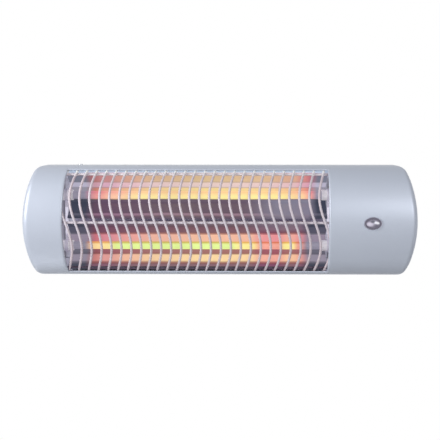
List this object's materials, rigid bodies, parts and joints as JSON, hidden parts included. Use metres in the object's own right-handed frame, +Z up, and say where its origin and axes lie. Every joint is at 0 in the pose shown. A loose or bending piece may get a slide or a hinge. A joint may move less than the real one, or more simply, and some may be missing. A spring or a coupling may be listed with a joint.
{
  "type": "wall-mounted bar heater",
  "caption": "Wall-mounted quartz bar heater with a crowned casing, two glowing tubes behind an S-wire guard, and a tilting wall bracket.",
  "frame": {"origin": "middle of the two wall screw holes, on the wall bracket's back face", "axes": "+Z up, +Y into the wall, +X to the right along the heater as a person in front of it sees it; the front looks along -Y"},
  "size_m": [0.5, 0.1292, 0.1446],
  "materials": {
    "casing_paint": "satin silver-grey paint with a faint blue tone",
    "pan_steel": "satin grey painted sheet steel",
    "guard_wire": "bright silver painted wire",
    "reflector_aluminium": "polished reflector sheet",
    "sheet_steel": "plain plated sheet steel",
    "holder_steel": "bright spring steel",
    "quartz": "clear fused quartz",
    "coil": "resistance wire, glowing orange to yellow",
    "ceramic": "unglazed off-white steatite",
    "terminal_metal": "nickel-plated",
    "bezel_chrome": "dark polished bezel",
    "lens": "smoky moulded lens",
    "white_plastic": "moulded heat-resistant plastic",
    "neon": "small neon lamp",
    "slider_plastic": "smooth moulded plastic",
    "spring_steel": "spring wire",
    "bush_plastic": "moulded, in the casing's colour",
    "brass": "plain",
    "black_plastic": "moulded black",
    "plated_screw": "zinc plated",
    "bracket_steel": "satin grey painted steel"
  },
  "bodies": {
    "wall_bracket": {"wall_bracket": "bracket_steel", "pivot_bolts": "plated_screw", "pivot_washers": "plated_screw", "pivot_nuts": "plated_screw"},
    "housing": {"front_casing": "casing_paint", "back_pan": "pan_steel", "guard_wires": "guard_wire", "guard_rails": "guard_wire", "guard_centre_bar": "guard_wire", "bulkhead_left": "sheet_steel", "bulkhead_right": "sheet_steel", "reflector_upper": "reflector_aluminium", "reflector_lower": "reflector_aluminium", "tube_holder_left": "holder_steel", "tube_holder_right": "holder_steel", "quartz_tube_upper": "quartz", "quartz_tube_lower": "quartz", "heating_coil_upper": "coil", "heating_coil_lower": "coil", "ceramic_caps": "ceramic", "terminal_pins": "terminal_metal", "indicator_bezel": "bezel_chrome", "indicator_lens": "lens", "lamp_holder": "white_plastic", "neon_lamp": "neon", "pull_switch_body": "white_plastic", "pull_spring": "spring_steel", "pull_bush": "bush_plastic", "terminal_block": "white_plastic", "terminal_screws": "brass", "thermal_cutout": "terminal_metal", "cable_gland": "black_plastic", "gland_nut": "black_plastic", "rear_screws": "plated_screw", "top_screw": "plated_screw", "tilt_yoke": "bracket_steel", "yoke_rivets": "plated_screw"},
    "pull_slider": {"pull_slider": "slider_plastic"}
  },
  "joints": [
    {"name": "tilt", "type": "hinge", "parent": "wall_bracket", "child": "housing", "pos_m": [0, -0.026, 0], "axis": [1, 0, 0], "range_deg": [0, 30]},
    {"name": "pull_switch", "type": "slide", "parent": "housing", "child": "pull_slider", "axis": [0, 0, -1], "range_m": [0, 0.008], "stiffness_N_per_m": 400, "springref_m": -0.004, "deforming": ["pull_spring"]}
  ]
}
